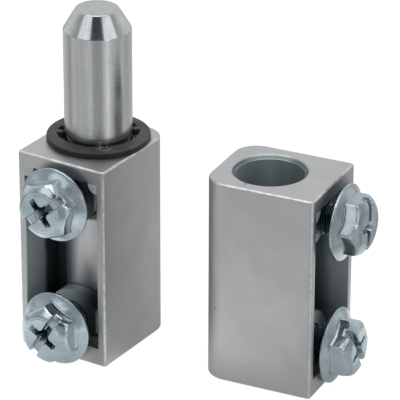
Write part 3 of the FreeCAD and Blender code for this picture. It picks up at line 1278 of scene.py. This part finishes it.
@dataclass(frozen=True)
class FlangeScrew:
    """One M5 hexagon flange screw with a slot and a cross recess, seat at z = 0, head up, slot along X.

    Attributes:
        node: Node that it replaces.
        name: Name of the piece.
        body: Body that it rides on.
        stand: Where it sits.
        length: Length under the flange, in mm.
        thread_radius: Radius of the thread's crests, in mm.
        thread_depth: Depth of the thread, in mm.
        pitch: Pitch of the thread, in mm.
        tip_chamfer: Chamfer at the tip, in mm.
        flange_radius: Radius of the flange, in mm.
        rim: Height of the flange's rim, in mm.
        rim_round: Rounding of the rim's edges, in mm.
        hex_foot: Height where the hexagon starts, in mm.
        flat_radius: Half of the hexagon's size across flats, in mm.
        corner_radius: Half of its size across corners, in mm.
        corner_power: Power of the norm that rounds the hexagon's corners.
        hex_turn: Angle of one of the hexagon's flats, in degrees from the slot.
        height: Height of the head, in mm.
        crown_start: Radius of the flat disc on top, in mm.
        crown_round: Width over which the crown starts to fall, in mm.
        crown_slope: Fall of the crown just outside that, a unit of radius.
        crown_reach: Radius beyond the disc at which the crown would stand upright, in mm.
        crown_fall: Fall of the crown's curve at that radius, in mm.
        ring: Depth and width of the fine groove round the disc, in mm.
        corner_round: Rounding where the hexagon's sides meet the crown, in mm.
        slot_width: Width of the slot, in mm.
        slot_depth: Depth of the slot, in mm.
        cross_span: Span of the cross at the top and at its foot, in mm.
        cross_arm: Width of an arm at the top and at its foot, in mm.
        cross_middle: Radius of the cross's round middle at the top and at its foot, in mm.
        cross_depth: Depth of the cross, in mm.
        columns: Number of points round it.
        thread_rows: Number of rows along the thread.
        top_rows: Number of rings on top.
        recess_tone: Share of the dark colour deep in the recess, as painted shade.
        crease_tone: Share of it in the crease round the hexagon's foot, as painted shade.
        plating_shade: Factor on the colours of its plating, which below 1 is painted shade.
    """

    node: str
    name: str
    body: str
    stand: Stand
    length: float = 6.0
    thread_radius: float = 2.45
    thread_depth: float = 0.42
    pitch: float = 0.8
    tip_chamfer: float = 0.6
    flange_radius: float = 5.65
    rim: float = 0.45
    rim_round: float = 0.15
    hex_foot: float = 0.95
    flat_radius: float = 4.0
    corner_radius: float = 4.62
    corner_power: float = 46.0
    hex_turn: float = 5.5
    height: float = 4.0
    crown_start: float = 3.0
    crown_round: float = 0.16
    crown_slope: float = 0.38
    crown_reach: float = 1.80
    crown_fall: float = 1.5
    ring: tuple[float, float] = (0.07, 0.09)
    corner_round: float = 0.16
    slot_width: float = 1.25
    slot_depth: float = 0.9
    cross_span: tuple[float, float] = (5.0, 2.0)
    cross_arm: tuple[float, float] = (1.15, 0.60)
    cross_middle: tuple[float, float] = (1.15, 0.60)
    cross_depth: float = 2.3
    columns: int = 384
    thread_rows: int = 58
    top_rows: int = 76
    recess_tone: float = 0.85
    crease_tone: float = 0.55
    plating_shade: float = 1.0

    def hexagon(self, angles: np.ndarray) -> np.ndarray:
        """Radius of the rounded hexagon at each angle.

        Formula: the flat radius over a norm of the six cosines between the angle and the flats' headings:
        their positive parts to a high power, summed, to one over that power. A higher power makes sharper
        corners.

        Args:
            angles: Angles, in radians.

        Returns:
            The radii, in mm.
        """
        flats = np.radians(self.hex_turn + 60.0 * np.arange(6))
        cosines = np.maximum(np.cos(angles[None, :] - flats[:, None]), 0.0)
        return self.flat_radius / np.sum(cosines ** self.corner_power, axis=0) ** (1.0 / self.corner_power)

    def crown_drop(self, radii: np.ndarray) -> np.ndarray:
        """How far the top falls at each radius.

        Formula: nothing inside crown_start; then a parabola over crown_round, which ends at the crown's
        slope, and on with that slope, plus the curve's fall times (1 less the root of (1 less u squared)),
        where u is the radius beyond crown_start over crown_reach. A fine groove, a bell curve, runs round
        the disc.

        Args:
            radii: Radii, in mm.

        Returns:
            The falls, in mm.
        """
        out = np.maximum(radii - self.crown_start, 0.0)
        turning = np.minimum(out, self.crown_round)
        bend = 1.0 - np.sqrt(1.0 - np.minimum(out / self.crown_reach, 0.95) ** 2)
        ring_depth, ring_width = self.ring
        ring = ring_depth * np.exp(-((radii - self.crown_start) / ring_width) ** 2)
        slope = self.crown_slope * (turning ** 2 / (2.0 * self.crown_round) + out - turning)
        return slope + self.crown_fall * bend + ring

    def recess_depth(self, x: np.ndarray, y: np.ndarray) -> np.ndarray:
        """Depth of the slot and the cross under the top, at each place.

        Formula: the slot's depth times a ramp across its sides. For each arm of the cross, and for its round
        middle, the share of the depth where a wall that leans inwards passes that place; the deepest counts.

        Args:
            x: Places along the slot, in mm.
            y: Places across it, in mm.

        Returns:
            The depths, in mm.
        """
        slot = self.slot_depth * smooth_step(0.07, -0.04, np.abs(y) - self.slot_width / 2)
        shares = [wall(np.hypot(x, y), self.cross_middle)]
        for along, across in ((np.abs(x), np.abs(y)), (np.abs(y), np.abs(x))):
            shares.append(np.minimum(wall(2 * along, self.cross_span), wall(2 * across, self.cross_arm)))
        share = np.clip(np.max(shares, axis=0), 0.0, 1.0)
        cross = self.cross_depth * share * (1.0 - 0.25 * (1.0 - share))
        return np.maximum(slot, cross)

    def thread(self, angles: np.ndarray) -> list[tuple[np.ndarray, float]]:
        """Rows of the threaded shank, from its tip to the seat.

        Formula: the radius falls from the crests by the thread depth times a triangle wave of (height over
        pitch less angle over a full turn), which fades out at the tip and under the head.

        Args:
            angles: Angle of each column, in radians.

        Returns:
            Radius at each column and height, row by row, in mm.
        """
        rows = []
        for z in np.linspace(-self.length, -0.12, self.thread_rows):
            phase = (z / self.pitch - angles / (2.0 * math.pi)) % 1.0
            cut = np.clip((1.0 - np.abs(2.0 * phase - 1.0)) * 1.3 - 0.15, 0.0, 1.0)
            tip = max(0.0, self.tip_chamfer - (z + self.length))
            fade = 1.0 - float(smooth_step(-0.5, -0.15, np.array(z)))
            rows.append((np.maximum(self.thread_radius - self.thread_depth * cut * fade - tip * 0.8, 1.3), z))
        return rows

    def rows(self) -> tuple[list[tuple[object, object]], np.ndarray]:
        """All rows of the screw, from the tip to the middle of the top.

        Formula: thread, underside, rim with rounded edges, a flange that rises to the hexagon's foot, the
        hexagon's sides up to the crown's edge, then rings that shrink to the middle, whose height is the
        head's less the crown's drop less the recess.

        Returns:
            Radius and height of each row, in mm, and the mask of painted shade in the recess, one value a
            grid point.
        """
        angles = headings(self.columns)
        hexagon = self.hexagon(angles)
        rows = self.thread(angles)
        rows += [(self.thread_radius, -0.06), (self.thread_radius + 0.1, 0.0), (3.2, 0.0), (4.4, 0.0)]
        inset = self.flange_radius - self.rim_round
        rows += arc((inset, self.rim_round), self.rim_round, -90.0, 0.0, 5)
        rows += arc((inset, self.rim - self.rim_round), self.rim_round, 0.0, 65.0, 5)
        start, start_height = rows[-1]
        for share in np.linspace(0.1, 1.0, 9):
            radii = start + (hexagon + 0.14 - start) * share
            rise = np.clip((start - radii) / (start - self.corner_radius), 0.0, 2.0) ** 1.15
            rows.append((radii, start_height + (self.hex_foot - start_height) * rise))
        foot = rows[-1][1]
        wall_foot = foot + 0.12
        rows += [(hexagon + 0.05, foot + 0.03), (hexagon, wall_foot)]
        x, y = hexagon * np.cos(angles), hexagon * np.sin(angles)
        edge = self.height - self.crown_drop(hexagon) - self.recess_depth(x, y)
        turn = self.corner_round
        for share in (0.25, 0.5, 0.75, 1.0):
            rows.append((hexagon, wall_foot + (edge - turn - wall_foot) * share))
        for angle in np.radians((20.0, 40.0, 60.0)):
            rows.append((hexagon - turn * (1.0 - math.cos(angle)),
                         edge - turn + turn * math.sin(angle) * 0.96))
        depths = [np.zeros(self.columns)] * len(rows)
        for share in np.linspace(0.968, 0.02, self.top_rows):
            blend = smooth_step(0.35, 0.8, np.array(share))
            ring = blend * hexagon * share + (1.0 - blend) * share * self.flat_radius
            depths.append(self.recess_depth(ring * np.cos(angles), ring * np.sin(angles)))
            rows.append((ring, self.height - self.crown_drop(ring) - depths[-1]))
        # Painted shade, darker deeper in the recess.
        return rows, smooth_step(0.35, 2.0, np.array(depths)) * self.recess_tone

    def dress(self, effects: Effects, finish: PlatedSteel) -> None:
        """Build the screw, mark the painted shade in its recess and round its hexagon's foot, and its trimmed
        flats, and give it its finish.

        Args:
            effects: The shared groups.
            finish: The finish.
        """
        rows, recess = self.rows()
        piece = revolved(self.name, rows, self.columns, self.stand)
        radii, heights = (spread(values, self.columns) for values in zip(*rows))
        beyond = radii - self.hexagon(headings(self.columns))
        rise = smooth_step(self.hex_foot + 0.1, self.hex_foot + 0.5, heights)
        trimmed = rise * smooth_step(-0.02, 0.0, beyond)
        # Painted shade in the crease round the hexagon's foot.
        crease = np.clip(1.0 - np.abs(heights - self.hex_foot - 0.02) / 0.16, 0.0, 1.0)
        crease = crease * (np.abs(beyond) < 0.2) * self.crease_tone
        masks = {"recess": (np.maximum(recess, crease), self.recess_tone), "trimmed": (trimmed, 0.0)}
        for name, (mask, middle) in masks.items():
            attribute = piece.data.attributes.new(name, "FLOAT", "POINT")
            attribute.data.foreach_set("value", np.append(mask, (0.0, middle)).astype(np.float32))
        finish_piece(piece, finish.material(self.name + "_finish", effects, self), self.body, self.node)


# Studio

@dataclass(frozen=True)
class Studio:
    """Pale floor, soft lamps and the camera at the photograph's angle.

    Attributes:
        target: Point in the middle of the picture, in mm.
        azimuth: Heading of the camera, in degrees.
        elevation: Height of the camera above the horizon, in degrees.
        roll: Roll of the camera, in degrees.
        distance: Distance from the target, in mm.
        lens: Focal length on a 36 mm sensor, in mm.
        floor_drop: How far the floor lies below the foot of the blocks, in metres.
        floor_level: Level of the floor to the camera.
        mirrored_floor: Level of the floor in reflections.
        front_glow: How much brighter the floor is close in front of the hinge: a painted pool of light.
        front_heading: Heading of that glow, in degrees.
        cards_from: Distances from the pin between which the floor's cards set in, in mm.
        foot_light_and_shade: Place and radius, in metres, and factor of each painted patch on the floor at
            the
        blocks' feet: painted shadow below 1, painted light above 1.
        floor_cards: Heading, half width, soft edge, all in degrees, and factor of each card on the floor.
        room: Colour of the room before the object.
        backdrop: Colour of the backdrop behind it.
        ceiling: Colour of the ceiling.
        gap: Colour of the gap round the camera.
        cloth: Colour of the bright cloth overhead.
        lamps: Heading and height, in degrees, width and height, in metres, and power, in watts, by name.
        lamp_distance: Distance of each lamp from the object, in metres.
        lit_point: Point that the lamps look at, in metres.
    """

    target: tuple[float, float, float] = (6.10, 18.19, 15.78)
    azimuth: float = 32.19
    elevation: float = 25.24
    roll: float = 0.145
    distance: float = 483.7
    lens: float = 286.5
    floor_drop: float = 0.00037
    floor_level: float = 1.13
    mirrored_floor: float = 0.57
    front_glow: float = 1.45
    front_heading: float = -15.0
    cards_from: tuple[float, float] = (55.0, 72.0)
    foot_light_and_shade: tuple[tuple[float, float, float, float], ...] = (
        (0.002, -0.021, 0.018, 0.55), (0.046, 0.030, 0.022, 2.2), (0.021, -0.016, 0.016, 1.35))
    floor_cards: tuple[tuple[float, float, float, float], ...] = (
        (-73.0, 4.0, 12.0, 0.38), (-18.0, 16.0, 14.0, 0.90), (33.0, 16.0, 3.0, 0.28), (65.5, 4.5, 3.0, 2.1),
        (107.0, 4.0, 8.0, 0.55), (142.0, 10.0, 12.0, 0.72))
    room: Colour = (0.42, 0.43, 0.44)
    backdrop: Colour = (0.88, 0.88, 0.88)
    ceiling: Colour = (0.35, 0.36, 0.37)
    gap: Colour = (0.05, 0.06, 0.065)
    cloth: Colour = (1.7, 1.7, 1.7)
    lamps: tuple[tuple[str, float, float, float, float, float], ...] = (
        ("left_softbox", -19.0, 38.0, 0.32, 0.24, 0.19), ("right_softbox", 82.0, 33.0, 0.36, 0.22, 0.20),
        ("right_spark", 64.0, 12.0, 0.05, 0.05, 0.09), ("left_spark", -42.0, 58.0, 0.05, 0.05, 0.09))
    lamp_distance: float = 0.5
    lit_point: tuple[float, float, float] = (0.013, 0.002, 0.02)

    def camera(self) -> None:
        """Make the camera."""
        data = bpy.data.cameras.new("camera")
        data.lens, data.sensor_width = self.lens, 36.0
        data.clip_start, data.clip_end = 0.01, 20.0
        back = outwards(self.azimuth, self.elevation)
        roll = Matrix.Rotation(math.radians(self.roll), 3, "Z")
        camera = placed("camera", data, (Vector(self.target) + back * self.distance) * MM, back, roll)
        bpy.context.scene.camera = camera

    def floor(self) -> None:
        """Make the pale floor, white to the camera and to reflections, with the object's shadow kept."""
        points = np.array([(-1.5, -1.5, 0.0), (1.5, -1.5, 0.0), (1.5, 1.5, 0.0), (-1.5, 1.5, 0.0)])
        floor = new_mesh("floor", points - (0.0, 0.0, self.floor_drop), np.arange(4), np.array([4]))
        material, shader, principled = started("floor_finish")
        shader.feed(principled, {"Base Color": (0.80, 0.80, 0.80, 1.0), "Roughness": 0.9})
        path = shader.node("ShaderNodeLightPath").outputs
        level = shader.node("ShaderNodeMix", data_type="FLOAT")
        shader.feed(level, {"Factor": path["Is Glossy Ray"], 2: self.floor_level,
                            3: shader.times(self.cards(shader), self.mirrored_floor)})
        white = shader.node("ShaderNodeEmission")
        shader.feed(white, {"Color": (1.0, 1.0, 1.0, 1.0), "Strength": level.outputs[0]})
        direct = shader.most(path["Is Camera Ray"], path["Is Transmission Ray"])
        seen = shader.most(shader.times(direct, 0.85), shader.times(path["Is Glossy Ray"], 0.6))
        blend = shader.node("ShaderNodeMixShader")
        shader.feed(blend, {0: seen, 1: principled.outputs[0], 2: white.outputs[0]})
        output = next(n for n in shader.tree.nodes if n.type == "OUTPUT_MATERIAL")
        shader.join(blend.outputs[0], output.inputs["Surface"])
        floor.data.materials.append(material)

    def cards(self, shader: Shader) -> Socket:
        """Grey and white cards on the floor round the pin, a painted pool of light in front of the hinge, and
        painted shadow and light at the blocks' feet, which only reflections see.

        Formula: the heading of a floor point, from -Y towards +X, is the arc tangent of x over minus y.
        Each card multiplies the floor's level by a factor that is 1 outside its half width plus its soft
        edge.

        Args:
            shader: Shader of the floor's material.

        Returns:
            The factor on the floor's level.
        """
        spot = shader.node("ShaderNodeTexCoord").outputs["Object"]
        x, y, _ = shader.split(spot)
        heading = shader.math("ARCTAN2", x, shader.times(y, -1.0))
        out = shader.vector("LENGTH", spot)
        far = shader.ramp_mm(out, *self.cards_from)
        # Painted pool of light on the floor close in front of the hinge, which reflections see.
        front = shader.ramp(self.off(shader, heading, self.front_heading), 0.8, 1.6, 1.0, 0.0)
        near = shader.times(shader.ramp(out, 0.020, 0.068, self.front_glow, 0.08, False), front)
        level = shader.math("ADD", near, 1.0)
        # Painted shadow and painted pools of light on the floor at the blocks' feet.
        for x, y, reach, factor in self.foot_light_and_shade:
            away = shader.vector("LENGTH", shader.vector("SUBTRACT", spot, (x, y, 0.0)))
            level = shader.times(level, shader.ramp(away, 0.4 * reach, reach, factor, 1.0))
        for centre, half, soft, factor in self.floor_cards:
            ends = math.radians(half), math.radians(half + soft)
            card = shader.ramp(self.off(shader, heading, centre), *ends, 1.0, 0.0)
            level = shader.times(level, shader.plus(1.0, (shader.times(card, far), factor - 1.0)))
        return level

    def off(self, shader: Shader, heading: Socket, centre: float) -> Socket:
        """How far a heading is from a card's, in radians, with the card's in degrees."""
        return shader.math("ABSOLUTE", shader.math("SUBTRACT", heading, math.radians(centre)))

    def world(self) -> None:
        """White to the camera; to everything else a pale backdrop behind the object, a grey room before it
        with a dark gap round the camera, and a bright cloth overhead."""
        world = bpy.data.worlds.new("studio")
        bpy.context.scene.world = world
        world.use_nodes = True
        shader = Shader(world.node_tree)
        looked = shader.node("ShaderNodeTexCoord").outputs["Generated"]
        behind = shader.towards(looked, self.azimuth + 180.0)
        aside = shader.math("ABSOLUTE", shader.towards(looked, self.azimuth + 90.0))
        up = shader.split(looked)[2]
        gap = shader.times(shader.ramp(aside, 0.30, 0.38, 1.0, 0.0),
                           shader.ramp(behind, -0.35, -0.15, 1.0, 0.0), shader.ramp(up, 0.25, 0.45),
                           shader.ramp(up, 0.78, 0.84, 1.0, 0.0))
        seen = shader.node("ShaderNodeLightPath").outputs["Is Camera Ray"]
        sky = shader.coats(self.room, (shader.ramp(behind, -0.25, 0.55), self.backdrop),
                           (shader.ramp(up, 0.70, 0.92), self.ceiling), (gap, self.gap),
                           (shader.ramp(up, 0.84, 0.87), self.cloth), (seen, (1.0, 1.0, 1.0)))
        background = next(n for n in world.node_tree.nodes if n.type == "BACKGROUND")
        shader.join(sky, background.inputs["Color"])

    def lamp(self, name: str, heading: float, height: float, width: float, drop: float, power: float) -> None:
        """Make one soft rectangular lamp that looks at the object.

        Args:
            name: Name of the lamp.
            heading: Heading from the object, in degrees, 0 towards -Y and 90 towards +X.
            height: Angle above the horizon, in degrees.
            width: Its width, in metres.
            drop: Its height, in metres.
            power: Power, in watts.
        """
        data = bpy.data.lights.new(name, "AREA")
        data.shape = "RECTANGLE"
        data.size, data.size_y, data.energy = width, drop, power
        out = outwards(heading, height)
        placed(name, data, Vector(self.lit_point) + out * self.lamp_distance, out, Matrix.Identity(3))

    def build(self) -> None:
        """Make the camera, the floor, the world and the lamps."""
        self.camera()
        self.floor()
        self.world()
        for lamp in self.lamps:
            self.lamp(*lamp)
        bpy.context.scene.view_settings.view_transform = "Standard"
        log.info("studio: camera at azimuth %.2f, elevation %.2f", self.azimuth, self.elevation)


def hinge_pieces() -> list[tuple[object, object]]:
    """The pieces of the hinge, in the order they are built.

    Returns:
        Each piece with its finish.
    """
    socket = {"x": 26.96, "y": 3.91, "turn": 96.8}
    zinc, plating = CastZinc(), PlatedSteel()
    face = -10.0
    screws = [
        FlangeScrew("pin_half_lower_screw", "pin_lower_screw", "pin_half",
                    Stand(spin=59.0, seat=(0.0, face - 1.4, 5.3))),
        FlangeScrew("pin_half_upper_screw", "pin_upper_screw", "pin_half",
                    Stand(spin=39.5, seat=(0.0, face - 1.3, 25.3))),
        FlangeScrew("socket_half_lower_screw", "socket_lower_screw", "socket_half",
                    Stand(**socket, spin=121.5, seat=(0.0, face - 0.5, 5.7)), plating_shade=0.90),
        FlangeScrew("socket_half_upper_screw", "socket_upper_screw", "socket_half",
                    Stand(**socket, spin=84.0, seat=(0.0, face - 1.65, 25.7)), plating_shade=0.82),
    ]
    pieces = [
        (Block("pin_block", "cast_pin_block", "pin_half", Stand()), zinc),
        (Block("socket_block", "cast_socket_block", "socket_half", Stand(**socket), pocket_tone=0.72,
               pocket_deep=(-7.0, -4.5), rim_heading=-64.0, pocket_back=-4.5, face_shade_tone=0.0,
               seat_shade=(25.7, 0.62)), zinc),
        (Pin(), BrightSteel()),
        (ThrustWasher(), BlackPlastic()),
    ]
    return pieces + [(screw, plating) for screw in screws]


def main() -> None:
    """Build the hinge and its studio."""
    logging.basicConfig(level=logging.INFO, format="%(name)s: %(message)s")
    Studio().build()
    effects = Effects()
    for piece, finish in hinge_pieces():
        piece.dress(effects, finish)


if __name__ == "__main__":
    main()
